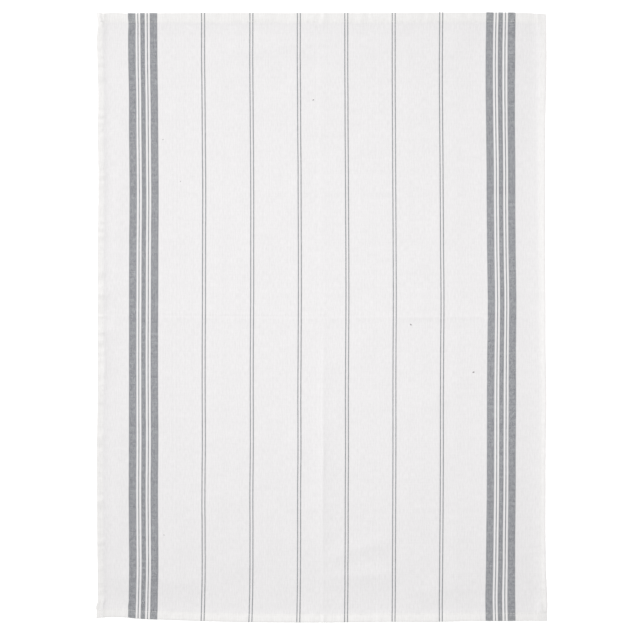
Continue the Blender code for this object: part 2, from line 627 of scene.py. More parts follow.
@dataclass(frozen=True)
class WovenCotton:
    """Plain-woven cotton with a grey-striped warp and a white weft.

    Attributes:
        plan: the warp's order.
        weft_pitch: from one weft yarn to the next.
        white: the bleached yarn's colour.
        grey: the dyed yarn's colour.
        weft_in_grey: the white weft where it crosses grey warp, and picks up its shade.
        hem_tint: what three layers do to the colour, as a factor.
        hem_blend: how far to each side of a hem's inner fold that tint fades.
        wander, wander_waves: how far yarns stray from their lines, in yarns, and how many times
            in a metre.
        yarn_tone: how much the yarns differ in tone.
        slub_tone, slub_waves: how much a yarn changes tone along its length, and how often from
            yarn to yarn and in a metre.
        weft_share: how uneven the weft is, as a share of the warp.
        dye_tone: how much the grey yarns differ in tone.
        fade, fade_reach: how much deeper the grey is at the bottom end than in the upper part,
            and the share of the length over which that wears off.
        patch_tone, patch_waves: how much the cloth changes tone over a few centimetres, and how
            often in a metre.
        painted_weave_shade: painted shade in the weave's hollows and painted light on its
            crowns, as tones.
        weave_shade_relief: the relief between which that painted shade changes.
        cover: how far the warp's crowns lie over the weft's, in the relief's measure.
        cover_play: how unevenly the warp covers the weft.
        streak, streak_waves: how much of that runs in streaks, and how often in a metre each way.
        edge: how softly one yarn ends at the other, in the relief's measure.
        crimp: how far a yarn rises and falls, against its own roundness.
        relief_top, relief_depth, relief_share: the relief's top in its own measure, its depth,
            and how much of it shows.
        rough, nap_waves: how rough the nap is, from place to place, and its waves in a metre.
        sheen, sheen_rough, gloss: the fibres' sheen, its roughness, and their gloss.
    """

    plan: WarpPlan = WarpPlan()
    weft_pitch: float = 0.58 * MM
    white: Colour = (0.820, 0.807, 0.812, 1.0)
    grey: Colour = (0.180, 0.184, 0.200, 1.0)
    weft_in_grey: Colour = (0.542, 0.551, 0.574, 1.0)
    hem_tint: Colour = (1.027, 1.030, 1.014, 1.0)
    hem_blend: float = 0.6 * MM
    wander: float = 0.35
    wander_waves: float = 55.0
    yarn_tone: float = 0.025
    slub_tone: float = 0.07
    slub_waves: tuple[float, float] = (0.45, 150.0)
    weft_share: float = 0.35
    dye_tone: float = 0.42
    fade: float = 0.03
    fade_reach: float = 0.6
    patch_tone: float = 0.012
    patch_waves: float = 45.0
    painted_weave_shade: tuple[float, float] = (0.93, 1.02)
    weave_shade_relief: tuple[float, float] = (0.1, 1.5)
    cover: float = 0.28
    cover_play: float = 0.48
    streak: float = 3.0
    streak_waves: tuple[float, float] = (330.0, 270.0)
    edge: float = 0.1
    crimp: float = 0.55
    relief_top: float = 1.6
    relief_depth: float = 0.16 * MM
    relief_share: float = 0.25
    rough: tuple[float, float] = (0.84, 0.96)
    nap_waves: float = 900.0
    sheen: float = 0.08
    sheen_rough: float = 0.5
    gloss: float = 0.2

    def yarns(self, wiring: Wiring, place: Socket) -> tuple[Socket, Socket]:
        """Splits a running yarn count.

        Args:
            wiring: the material's nodes.
            place: the place in yarns.

        Returns:
            The nearest yarn's number, and how round the yarn stands there, from 0 to 1.
        """
        number = wiring.math("ROUND", place)
        return number, wiring.wave(wiring.less(place, number))

    def yarn_unevenness(self, wiring: Wiring, number: Socket, run: Socket, lots: Lots,
                        share: float) -> Socket:
        """A yarn's tone, which differs from yarn to yarn and along each one.

        Args:
            wiring: the material's nodes.
            number: the yarn's number.
            run: the place along the yarn, in metres.
            lots: the lots that tell the two sets of yarns apart.
            share: how much of the unevenness these yarns have.

        Returns:
            A factor near 1.
        """
        own = wiring.near_one(wiring.lot(number, lots), UNIT, share * self.yarn_tone)
        by_yarn, by_metre = self.slub_waves
        place = wiring.vector(wiring.times(number, by_yarn), wiring.times(run, by_metre))
        slub = wiring.near_one(wiring.noise(place, detail=3.0), WIDE_NOISE, share * self.slub_tone)
        return wiring.times(own, slub)

    def warp_play(self, wiring: Wiring, across: Socket, along: Socket, pick: Socket) -> Socket:
        """How much more of the warp shows than of the weft.

        Args:
            wiring: the material's nodes.
            across, along: the place on the flat cut.
            pick: the weft yarn's number.

        Returns:
            What is added to the warp's height before the two are compared.
        """
        lot = wiring.less(wiring.lot(pick, Lots.COVER), 0.5)
        place = wiring.vector(*(wiring.times(value, waves)
                                for value, waves in zip((across, along), self.streak_waves)))
        streak = wiring.noise(place, detail=1.0)
        streak = wiring.math("MULTIPLY_ADD", streak, self.streak, -self.streak / 2)
        return wiring.math("MULTIPLY_ADD", wiring.total(lot, streak), self.cover_play, self.cover)

    def material(self, towel: "Outline", hems: "Hems") -> bpy.types.Material:
        """Builds the finish.

        Args:
            towel: the finished towel's size.
            hems: its hems.

        Returns:
            The material, which reads the sheet's map of flat places.
        """
        wiring = Wiring("woven_cotton")
        across, along = wiring.map_place(FLAT_MAP)
        place = wiring.vector(across, along)
        stray = wiring.less(wiring.noise(place, self.wander_waves), 0.5)
        stray = wiring.times(stray, self.wander)
        from_middle = wiring.less(across, self.plan.middle)
        warp = wiring.total(wiring.math("DIVIDE", from_middle, self.plan.pitch), stray)
        weft = wiring.total(wiring.math("DIVIDE", along, self.weft_pitch), stray)
        end, end_round = self.yarns(wiring, warp)
        pick, pick_round = self.yarns(wiring, weft)

        warp_rise = wiring.wave(wiring.total(weft, end))
        weft_rise = wiring.wave(wiring.total(warp, pick))
        warp_height = wiring.math("MULTIPLY_ADD", warp_rise, self.crimp, end_round)
        weft_height = wiring.math("MULTIPLY_ADD", weft_rise, -self.crimp, pick_round)
        play = self.warp_play(wiring, across, along, pick)
        lead = wiring.total(wiring.less(warp_height, weft_height), play)
        warp_shows = wiring.ranged(lead, (-self.edge, self.edge), UNIT, smooth=True)
        height = wiring.math("MAXIMUM", warp_height, weft_height)

        grey = self.plan.grey(wiring, end)
        dye = wiring.near_one(wiring.lot(end, Lots.DYE), UNIT, self.dye_tone)
        warp_colour = wiring.mix(grey, self.white, wiring.toned(self.grey, dye))
        weft_colour = wiring.mix(grey, self.white, self.weft_in_grey)
        colour = wiring.mix(warp_shows, weft_colour, warp_colour)

        warp_tone = self.yarn_unevenness(wiring, end, along, Lots.WARP_TONE, 1.0)
        weft_tone = self.yarn_unevenness(wiring, pick, across, Lots.WEFT_TONE, self.weft_share)
        tone = wiring.times(warp_tone, weft_tone)
        patch = wiring.noise(place, self.patch_waves, detail=4.0)
        tone = wiring.times(tone, wiring.near_one(patch, NOISE, self.patch_tone))
        # Painted shade: the tone is darker in the weave's hollows and lighter on its crowns,
        # following the relief.
        tone = wiring.times(tone, wiring.ranged(height, self.weave_shade_relief, self.painted_weave_shade))
        deep = wiring.ranged(along, (0.0, towel.length * self.fade_reach), (self.fade, 0.0))
        tone = wiring.times(tone, wiring.less(1.0, wiring.times(grey, deep)))
        shade = wiring.toned(self.hem_shade(wiring, across, along, towel, hems), tone)
        nap = wiring.noise(place, self.nap_waves)
        wiring.dress({
            "Base Color": wiring.mix(1.0, colour, shade, "MULTIPLY"),
            "Roughness": wiring.ranged(nap, NOISE, self.rough),
            "Sheen Weight": self.sheen,
            "Sheen Roughness": self.sheen_rough,
            "Specular IOR Level": self.gloss,
        })
        relief = wiring.ranged(height, (0.0, self.relief_top), UNIT)
        wiring.relief(relief, self.relief_depth, self.relief_share)
        return wiring.material

    def hem_shade(self, wiring: Wiring, across: Socket, along: Socket, towel: "Outline",
                  hems: "Hems") -> Socket:
        """The hems' slightly brighter, warmer shade, as a factor.

        Args:
            wiring: the material's nodes.
            across, along: the place on the flat cut.
            towel: the finished towel's size.
            hems: its hems.

        Returns:
            The factor's colour: white over the single cloth.
        """
        inside = wiring.math("MAXIMUM", wiring.less(hems[Edge.LEFT].width, across),
                             wiring.less(hems[Edge.BOTTOM].width, along))
        for place, far in ((across, towel.width - hems[Edge.RIGHT].width),
                           (along, towel.length - hems[Edge.TOP].width)):
            inside = wiring.math("MAXIMUM", inside, wiring.less(place, far))
        share = wiring.ranged(inside, (-self.hem_blend, self.hem_blend), UNIT, smooth=True)
        return wiring.mix(share, PLAIN_WHITE, self.hem_tint)


@dataclass(frozen=True)
class SewingThread:
    """White two-ply sewing cotton.

    Attributes:
        colour: the thread's colour.
        shade: its colour in the groove between the plies.
        twists: turns of the plies in one stitch.
        rough: how rough it is in the groove and on the plies.
        sheen: its sheen.
        groove, groove_share: the groove's depth, and how much of it shows.
    """

    colour: Colour = (0.88, 0.875, 0.865, 1.0)
    shade: Colour = (0.74, 0.73, 0.72, 1.0)
    twists: float = 5.0
    rough: tuple[float, float] = (0.9, 0.7)
    sheen: float = 0.1
    groove: float = 0.05 * MM
    groove_share: float = 0.6

    def material(self) -> bpy.types.Material:
        """Builds the finish.

        Returns:
            The material, which reads the stitches' own map.
        """
        wiring = Wiring("sewing_thread")
        around, along = wiring.map_place(FLAT_MAP)
        turn = wiring.math("MULTIPLY_ADD", along, self.twists, around)
        ply = wiring.math("ABSOLUTE", wiring.math("SINE", wiring.times(turn, tau)))
        wiring.dress({
            # Painted shade: the thread is darker in the groove between its plies.
            "Base Color": wiring.mix(ply, self.shade, self.colour),
            "Roughness": wiring.ranged(ply, UNIT, self.rough),
            "Sheen Weight": self.sheen,
        })
        wiring.relief(ply, self.groove, self.groove_share)
        return wiring.material


@dataclass(frozen=True)
class SeedHusk:
    """The brown husk of a cotton seed, caught in the yarn.

    Attributes:
        dark: its colour in the hollows.
        light: its colour on the fibres.
        fibres: how many fibres lie round it.
        rough: how rough it is in the hollows and on the fibres.
        hollow, hollow_share: the hollows' depth, and how much of it shows.
    """

    dark: Colour = (0.15, 0.14, 0.14, 1.0)
    light: Colour = (0.40, 0.38, 0.37, 1.0)
    fibres: float = 9.0
    rough: tuple[float, float] = (0.7, 0.9)
    hollow: float = 0.05 * MM
    hollow_share: float = 0.5

    def material(self) -> bpy.types.Material:
        """Builds the finish.

        Returns:
            The material, which reads the specks' own map.
        """
        wiring = Wiring("seed_husk")
        place = wiring.vector(*wiring.map_place(FLAT_MAP))
        fibre = wiring.noise(place, self.fibres, detail=3.0)
        share = wiring.ranged(fibre, NARROW_NOISE, UNIT)
        wiring.dress({
            "Base Color": wiring.mix(share, self.dark, self.light),
            "Roughness": wiring.ranged(share, UNIT, self.rough),
        })
        wiring.relief(share, self.hollow, self.hollow_share)
        return wiring.material


@dataclass(frozen=True)
class StudioPaper:
    """The pale paper of the studio floor, lit from below as well.

    Attributes:
        colour: the paper's colour.
        glow: the strength of the light that comes through it.
    """

    colour: Colour = (0.97, 0.97, 0.97, 1.0)
    glow: float = 0.35

    def material(self) -> bpy.types.Material:
        """Builds the finish.

        Returns:
            The material.
        """
        wiring = Wiring("studio_paper")
        wiring.dress({
            "Base Color": self.colour,
            "Roughness": 1.0,
            "Specular IOR Level": 0.0,
            "Emission Color": PLAIN_WHITE,
            "Emission Strength": self.glow,
        })
        return wiring.material


# ---------------------------------------------------------------------------------------------
# The cloth's form


@dataclass(frozen=True)
class Outline:
    """The finished towel's size and uneven outline, and how the weave has drifted inside it.

    Attributes:
        width, length: the size between the mean edges.
        band_inset: from a side edge to the middle of the band of stripes beside it.
        pairs_inset: from a side edge to the middle of the three pairs of lines beside it.
        drift: how all these stand off their straight lines, by height.
        ends: how the two ends stand off theirs, from left to right.
    """

    width: float = 0.500
    length: float = 0.680
    band_inset: float = 0.051
    pairs_inset: float = 0.170
    drift: tuple[DriftRow, ...] = (
        DriftRow(0.000, -1.7, -0.9, -0.6, -0.1, -0.3, -1.2, 1.6),
        DriftRow(0.009, -1.6, -0.7, -0.3, 0.0, -0.2, -1.3, 1.6),
        DriftRow(0.013, -2.0, -0.6, -0.2, 0.1, -0.1, -1.4, 1.8),
        DriftRow(0.018, -0.4, -0.5, -0.1, 0.1, -0.1, -1.5, 1.9),
        DriftRow(0.025, -0.3, -0.4, 0.1, 0.2, 0.0, -1.5, 1.7),
        DriftRow(0.055, -0.5, 0.2, 0.5, 0.4, 0.1, -0.9, 0.4),
        DriftRow(0.090, -0.8, 0.0, 0.6, 0.6, 0.3, -0.5, -0.2),
        DriftRow(0.140, -1.0, -0.3, 0.5, 0.7, 0.5, 0.1, -0.2),
        DriftRow(0.200, -1.0, 0.0, 1.0, 1.0, 0.7, 0.3, 0.0),
        DriftRow(0.250, -0.4, -0.2, 0.9, 0.9, 0.7, 0.4, 0.8),
        DriftRow(0.300, -0.1, -0.3, 1.0, 1.2, 0.8, 0.8, -0.2),
        DriftRow(0.355, -0.4, -0.1, 1.3, 1.5, 1.1, 1.3, -0.3),
        DriftRow(0.420, -0.2, 0.1, 1.4, 1.4, 0.9, 0.4, -0.7),
        DriftRow(0.475, 0.3, 0.4, 1.4, 1.1, 0.6, 0.0, -0.7),
        DriftRow(0.505, 0.4, 0.2, 1.3, 1.0, 0.4, -0.1, -0.6),
        DriftRow(0.545, -0.4, -0.1, 1.0, 0.6, 0.2, -0.6, -0.7),
        DriftRow(0.585, 0.3, -0.4, 0.7, 0.5, 0.0, -1.1, 0.0),
        DriftRow(0.625, -0.75, -1.0, 0.4, 0.2, -0.1, -1.2, 0.8),
        DriftRow(0.660, -0.6, -1.2, 0.5, 0.2, -0.1, -0.8, 0.6),
        DriftRow(0.667, 0.3, -1.2, 0.5, 0.2, -0.1, -0.7, 0.6),
        DriftRow(0.673, -0.8, -1.3, 0.6, 0.2, -0.1, -0.5, 0.4),
        DriftRow(0.680, -1.2, -1.3, 0.6, 0.2, -0.1, -0.4, 0.3),
    )
    ends: tuple[EndRow, ...] = (
        EndRow(0.000, 3.8, 0.2),
        EndRow(0.009, 4.8, -0.4),
        EndRow(0.018, 5.4, 0.4),
        EndRow(0.031, 4.9, -0.5),
        EndRow(0.050, 3.1, -0.5),
        EndRow(0.075, 2.3, -0.3),
        EndRow(0.110, 1.0, -0.1),
        EndRow(0.160, -0.2, 0.0),
        EndRow(0.250, -0.8, -0.2),
        EndRow(0.330, 0.0, -0.1),
        EndRow(0.380, -0.1, 0.4),
        EndRow(0.425, 0.9, 0.3),
        EndRow(0.455, 0.8, 0.2),
        EndRow(0.480, 1.0, -0.2),
        EndRow(0.500, 0.8, -1.3),
    )

    def inset(self, edge: Edge, across: Array, along: Array) -> Array:
        """Measures how far in from a straight edge places are.

        Args:
            edge: the edge.
            across, along: the places, from the left and bottom edges.

        Returns:
            Their distances from the edge.
        """
        insets = {
            Edge.LEFT: across,
            Edge.RIGHT: self.width - across,
            Edge.BOTTOM: along,
            Edge.TOP: self.length - along,
        }
        return insets[edge]

    def place(self, across: Array, along: Array) -> tuple[Array, Array]:
        """Finds where points of the straight towel lie on the real one.

        Args:
            across: distances from the left edge.
            along: distances from the bottom edge.

        Returns:
            Their x and y from the straight towel's middle.
        """
        heights, *columns = np.array(self.drift).T
        insets = np.array((0.0, self.band_inset, self.pairs_inset))
        knots = (*insets, self.width / 2, *(self.width - insets[::-1]))
        x = across - self.width / 2
        for column, own in zip(columns, np.eye(len(knots))):
            x = x + MM * read_curve(heights, column, along) * np.interp(across, knots, own)
        widths, bottom, top = np.array(self.ends).T
        share = along / self.length
        shift = read_curve(widths, bottom, across) * (1 - share)
        shift = shift + read_curve(widths, top, across) * share
        return x, along - self.length / 2 + MM * shift


@dataclass(frozen=True)
class HemFold:
    """A hem turned under twice, as wide as its flap.

    Attributes:
        width: from the folded edge to the inner fold.
        fall: from the inner fold to where the face lies on the surface again.
        pitch: from the middle of one layer to the next.
        raw_gap: from the outer turn to the raw edge inside the hem.
        seam_inset: from the inner fold to the sewing.
        seam_dip: how far the sewing pulls the face down, as a share of its rise.
        seam_reach: how far to each side that dip shows.
        fall_power: how much steeper the face falls at first.
        press: how far the outer fold reaches out, as a share of a round one.
        STOPS: the shares at which each stretch of the hem has a line of points.
        SEAM_STOP: how far before the sewing the face has one more, as a share.
    """

    STOPS = {
        Stretch.TUCK: (1.0, 0.5),
        Stretch.INNER_TURN: (0.0, 1 / 3, 2 / 3, 1.0),
        Stretch.FLAP: (0.35, 0.7),
        Stretch.OUTER_TURN: (0.0, 0.25, 0.5, 0.75, 1.0),
        Stretch.FACE: (0.06, 0.3, 0.6),
    }
    SEAM_STOP = 0.1

    width: float
    fall: float
    pitch: float = 0.32 * MM
    raw_gap: float = 1.2 * MM
    seam_inset: float = 1.2 * MM
    seam_dip: float = 0.10
    seam_reach: float = 0.9 * MM
    fall_power: float = 1.3
    press: float = 0.4

    @property
    def seam(self) -> float:
        """The sewing's distance from the folded edge."""
        return self.width - self.seam_inset

    @property
    def quarter_turn(self) -> float:
        """The length of cloth in half of the outer turn."""
        return self.pitch * (1 + self.press) / 2 * pi / 2

    @property
    def straight(self) -> float:
        """The length of cloth in the flap, between the two turns."""
        return self.width - (0.5 + self.press) * self.pitch

    @property
    def turned_under(self) -> float:
        """The length of cloth beyond the finished edge on the flat cut."""
        return 2 * self.quarter_turn + 2 * self.straight - self.raw_gap

    def cover(self, inset: Array) -> Array:
        """How high the face stands, as a share of the hem's full rise.

        Args:
            inset: the distance from the folded edge.

        Returns:
            1 over the hem, 0 over the single cloth.
        """
        fall = (1.0 - np.clip((inset - self.width) / self.fall, 0.0, 1.0)) ** self.fall_power
        dip = self.seam_dip * np.exp(-(((inset - self.seam) / self.seam_reach) ** 2))
        return fall - dip

    def flat_place(self, stretch: Stretch, share: float) -> float:
        """Finds a line's place on the flat cut.

        Args:
            stretch: the stretch of the hem that it lies in.
            share: how far along that stretch.

        Returns:
            Its distance in from the finished edge, negative if turned under.
        """
        quarter = self.quarter_turn
        inner = quarter + self.straight
        if stretch is Stretch.TUCK:
            return -inner - quarter - share * (self.straight - self.raw_gap)
        if stretch is Stretch.INNER_TURN:
            return -inner - (1 - share) * quarter
        if stretch is Stretch.FLAP:
            return -quarter - (1 - share) * self.straight
        if stretch is Stretch.OUTER_TURN:
            return (2 * share - 1) * quarter
        return quarter + share * (self.width - quarter)

    def stations(self) -> list[Station]:
        """Lists the hem's lines of points.

        Returns:
            The lines, from its raw edge to its inner fold's place on the face.
        """
        seam = self.seam / self.width
        stops = {stretch: list(shares) for stretch, shares in self.STOPS.items()}
        stops[Stretch.FACE] += [seam - self.SEAM_STOP, seam, 1.0]
        return [Station(stretch, share, self.flat_place(stretch, share))
                for stretch, shares in stops.items() for share in shares]

    def place(self, station: Station, stack: Array, rise: Array,
              pitch: Array) -> tuple[Array, Array]:
        """Folds cloth, or a stack of cloth that already holds a hem, under twice.

        Args:
            station: the line of points.
            stack: how far the stack's top layer lies over its lowest one.
            rise: how far the point lies over the stack's lowest layer.
            pitch: from the middle of one layer to the next.

        Returns:
            The distance in from the folded edge, and the height over the lowest layer.
        """
        outer = self.press * (pitch + 1.5 * stack)
        inner = self.width - 0.5 * pitch - stack
        share = station.share
        if station.stretch is Stretch.TUCK:
            return inner + share * (outer + self.raw_gap - inner), stack + pitch + rise
        if station.stretch is Stretch.INNER_TURN:
            turn = pi * (0.5 - share)
            radius = 0.5 * pitch + rise
            return inner + radius * cos(turn), stack + 0.5 * pitch + radius * sin(turn)
        if station.stretch is Stretch.FLAP:
            return inner + share * (outer - inner), stack - rise
        if station.stretch is Stretch.OUTER_TURN:
            turn = pi * (share - 0.5)
            radius = pitch + 0.5 * stack + rise
            reach = self.press * radius * cos(turn)
            return outer - reach, 1.5 * stack + pitch + radius * sin(turn)
        inset = outer + share * (self.width - outer)
        if station.stretch is Stretch.FIELD:
            inset = np.full_like(rise, station.flat)
        return inset, 2 * (stack + pitch) * self.cover(inset) + rise


Hems = dict[Edge, HemFold]


@dataclass(frozen=True)
class Relief:
    """How the laid cloth stands off the surface: creases, wrinkles, puckers and curled edges.

    Attributes:
        ridges: the raised cloth along the press creases, and the wrinkles.
        creases: the pressed lines themselves.
        curls: the edges that curl up.
        flank_power: how sharply a ridge comes to its crest.
        blunt: how bluntly a pressed line or a curl ends, less than 1 being blunter.
        crease_reach: how far to each side a pressed line shows.
        pucker_pitch: from one pucker of a seam to the next.
        puckers: the puckers along each seam.
        pucker_spacing: how their spacing sways, in puckers.
        pucker_size: how their height sways, as a share.
        pucker_flat: how far into the hem they keep their height, as a share of its width.
        pucker_reach: how far a pucker runs past its hem into the single cloth.
        pucker_end: the length at each end of a seam over which its puckers die out.
        swell: the height of the broad, soft unevenness.
        swell_waves: its waves: how fast each turns across and along, in radians in a metre, and
            where it starts.
        swell_bend: how far the waves bend, and how fast along the towel.
        swell_level: how many waves have to meet for the full height.
        swell_power: how much rarer the high places are.
    """

    ridges: tuple[Ridge, ...] = (
        # The cloth beside the press creases, whose lower part stands highest
        Ridge(-0.001, 0.170, 90, 0.400, 0.014, 0.030, 0.16 * MM),
        Ridge(0.000, -0.160, 90, 0.270, 0.017, 0.022, 0.95 * MM),
        Ridge(0.001, -0.158, 90, 0.070, 0.018, 0.009, 1.30 * MM),
        Ridge(-0.130, 0.000, 0, 0.300, 0.020, 0.020, 0.08 * MM),
        Ridge(0.130, 0.000, 0, 0.300, 0.020, 0.020, 0.25 * MM),
        # The dent where the cross crease meets the left hem, between two bumps
        Ridge(-0.246, 0.023, 0, 0.026, 0.016, 0.013, 0.90 * MM),
        Ridge(-0.243, -0.018, 0, 0.036, 0.015, 0.026, 0.80 * MM),
        Ridge(-0.242, -0.052, 90, 0.080, 0.006, 0.013, 0.70 * MM),
        # Two wrinkles low down, right of the long crease, and the slack above them
        Ridge(0.050, -0.256, 11, 0.070, 0.018, 0.018, 0.62 * MM),
        Ridge(0.042, -0.289, 3, 0.100, 0.018, 0.019, 0.70 * MM),
        Ridge(0.010, -0.266, 15, 0.050, 0.020, 0.030, 0.50 * MM),
        Ridge(0.012, -0.210, 85, 0.040, 0.009, 0.006, 0.45 * MM),
        Ridge(0.017, -0.104, 98, 0.050, 0.013, 0.007, 0.45 * MM),
        # Slack cloth above the bottom hem
        Ridge(-0.190, -0.297, -3, 0.150, 0.045, 0.028, 0.85 * MM),
        Ridge(0.150, -0.303, 4, 0.150, 0.034, 0.024, 0.35 * MM),
        # Slack cloth inside the side hems and under the top hem
        Ridge(-0.225, -0.205, 90, 0.200, 0.014, 0.009, 0.45 * MM),
        Ridge(-0.2395, -0.185, 90, 0.310, 0.006, 0.012, 0.20 * MM),
        Ridge(-0.2500, -0.130, 90, 0.420, 0.003, 0.006, 0.45 * MM),
        Ridge(-0.226, 0.120, 88, 0.340, 0.012, 0.012, 0.35 * MM),
        Ridge(0.2380, 0.000, 90, 0.650, 0.012, 0.009, 0.40 * MM),
        Ridge(0.205, 0.225, 88, 0.220, 0.050, 0.031, 0.85 * MM),
        Ridge(0.202, 0.030, 91, 0.260, 0.050, 0.034, 0.75 * MM),
        Ridge(0.204, -0.190, 90, 0.300, 0.050, 0.032, 0.85 * MM),
        Ridge(0.210, 0.284, 60, 0.060, 0.026, 0.016, 0.90 * MM),
        Ridge(-0.060, 0.300, 6, 0.200, 0.030, 0.024, 0.45 * MM),
        Ridge(0.110, 0.298, -5, 0.140, 0.030, 0.024, 0.40 * MM),
        # Small folds in the corners, where the end hems are turned over the side hems
        Ridge(-0.2458, 0.3345, 97, 0.022, 0.0050, 0.0028, 1.45 * MM),
        Ridge(-0.2422, 0.3335, 80, 0.017, 0.0060, 0.0014, 0.60 * MM),
        Ridge(-0.2426, -0.3320, 90, 0.034, 0.0035, 0.0013, 0.65 * MM),
        Ridge(0.2495, -0.2900, 90, 0.110, 0.0070, 0.0030, 0.80 * MM),
        Ridge(0.2455, -0.3300, 112, 0.030, 0.0045, 0.0035, 0.80 * MM),
    )
    creases: tuple[Crease, ...] = (
        Crease(-0.0015, 0.170, 90, 0.400, 0.15 * MM, Press.RIDGE),
        Crease(0.0005, -0.170, 90, 0.400, 0.27 * MM, Press.RIDGE),
        Crease(-0.125, 0.0008, 0, 0.300, 0.13 * MM, Press.TROUGH),
        Crease(0.125, -0.0005, 0, 0.300, 0.17 * MM, Press.RIDGE),
    )
    curls: tuple[Curl, ...] = (
        Curl(Edge.RIGHT, 5.5 * MM, 10.0 * MM, 0.19),
        Curl(Edge.BOTTOM, 10.0 * MM, 10.0 * MM, 0.10),
    )
    flank_power: float = 1.6
    blunt: float = 0.5
    crease_reach: float = 2.2 * MM
    pucker_pitch: float = 9.5 * MM
    puckers: tuple[Pucker, ...] = (
        Pucker(Edge.LEFT, 0.84 * MM, 0.3),
        Pucker(Edge.RIGHT, 0.28 * MM, 1.8),
        Pucker(Edge.BOTTOM, 0.75 * MM, 3.4),
        Pucker(Edge.TOP, 0.75 * MM, 4.9),
    )
    pucker_spacing: tuple[Sway, ...] = (Sway(0.45, 0.083, 1.0), Sway(0.30, 0.037, 2.1))
    pucker_size: Sway = Sway(0.30, 0.061, 1.7)
    pucker_flat: float = 0.6
    pucker_reach: float = 4.0 * MM
    pucker_end: float = 40.0 * MM
    swell: float = 0.22 * MM
    swell_waves: tuple[tuple[float, float, float], ...] = (
        (31.0, 17.0, 0.4), (-22.0, 39.0, 1.9), (57.0, -33.0, 3.1), (12.0, 71.0, 4.4),
        (88.0, 25.0, 5.2), (-67.0, 94.0, 0.9), (140.0, 61.0, 2.6), (-118.0, -47.0, 3.8),
    )
    swell_bend: tuple[float, float] = (1.3, 21.0)
    swell_level: float = 4.0
    swell_power: float = 1.5

    def ridge_height(self, ridge: Ridge, x: Array, y: Array) -> Array:
        """The lift that one ridge gives.

        Args:
            ridge: the ridge.
            x, y: where, from the towel's middle.

        Returns:
            The height, which fades to nothing at the ridge's rim.
        """
        along, beside = turned_places(ridge, x, y)
        ends = np.clip(1 - (2 * along / ridge.length) ** 2, 0, 1)
        reach = np.where(beside > 0, ridge.left, ridge.right)
        flanks = np.clip(1 - np.abs(beside) / reach, 0, 1)
        return ridge.height * ends * flanks**self.flank_power

    def crease_height(self, crease: Crease, x: Array, y: Array) -> Array:
        """The lift of one pressed line.

        Args:
            crease: the pressed line.
            x, y: where, from the towel's middle.

        Returns:
            The height: over a ridge's line, or on both sides of a trough's.
        """
        along, beside = turned_places(crease, x, y)
        ends = np.clip(1 - (2 * along / crease.length) ** 2, 0, 1) ** self.blunt
        reach = np.abs(beside) / self.crease_reach
        shape = np.exp(-reach)
        if crease.press is Press.TROUGH:
            shape = reach * np.exp(1 - reach)
        return crease.height * ends * shape

    def curl_height(self, curl: Curl, towel: Outline, across: Array, along: Array) -> Array:
        """The lift of one curled edge, which is most at the middle of the edge.

        Args:
            curl: the curled edge.
            towel: the finished towel's size.
            across, along: the place, from the left and bottom edges.

        Returns:
            The height.
        """
        inset = towel.inset(curl.edge, across, along)
        run = along / towel.length if curl.edge in SIDES else across / towel.width
        run = np.clip(run, 0, 1)
        width = curl.near + (curl.far - curl.near) * run
        ends = np.sin(pi * run) ** self.blunt
        return curl.rise * width * smooth_step(1 - inset / width) * ends

    def pucker_height(self, pucker: Pucker, run: Array, inset: Array, width: float) -> Array:
        """The ripples that a seam's tight thread draws into a hem.

        Args:
            pucker: the seam's ripples.
            run: the place along the seam.
            inset: the distance from the folded edge.
            width: the hem's width.

        Returns:
            The lift.
        """
        def sway(part: Sway) -> Array:
            """One slow wave along the seam."""
            return part.size * np.sin(tau * run / part.length + part.phase * pucker.phase)

        wave = run / self.pucker_pitch
        for part in self.pucker_spacing:
            wave = wave + sway(part)
        size = (1 - self.pucker_size.size) + sway(self.pucker_size)
        fade = (1 - self.pucker_flat) * width + self.pucker_reach
        reach = 1.0 - smooth_step((inset - self.pucker_flat * width) / fade)
        return pucker.height * size * reach * (0.5 + 0.5 * np.sin(tau * wave)) ** 2

    def swells(self, x: Array, y: Array) -> Array:
        """The broad unevenness of cloth that has been washed and smoothed by hand.

        Args:
            x, y: where, from the towel's middle.

        Returns:
            The height.
        """
        bend, turns = self.swell_bend
        total = sum(np.sin(x * across + y * along + start + bend * np.sin(turns * y + start))
                    for across, along, start in self.swell_waves)
        return self.swell * np.clip(total / self.swell_level, 0.0, None) ** self.swell_power

    def lift(self, towel: Outline, hems: Hems, across: Array, along: Array) -> Array:
        """How far the cloth's underside stands off the surface.

        Args:
            towel: the finished towel's size.
            hems: its hems.
            across, along: the place, from the left and bottom edges.

        Returns:
            The lift, which is never below nothing.
        """
        x, y = across - towel.width / 2, along - towel.length / 2
        height = np.max([self.ridge_height(ridge, x, y) for ridge in self.ridges], axis=0)
        for crease in self.creases:
            height = height + self.crease_height(crease, x, y)
        for curl in self.curls:
            height = height + self.curl_height(curl, towel, across, along)
        for pucker in self.puckers:
            run, length = (along, towel.length) if pucker.edge in SIDES else (across, towel.width)
            inset = towel.inset(pucker.edge, across, along)
            calm = smooth_step(np.minimum(run, length - run) / self.pucker_end)
            height = height + calm * self.pucker_height(pucker, run, inset, hems[pucker.edge].width)
        return height + self.swells(x, y)


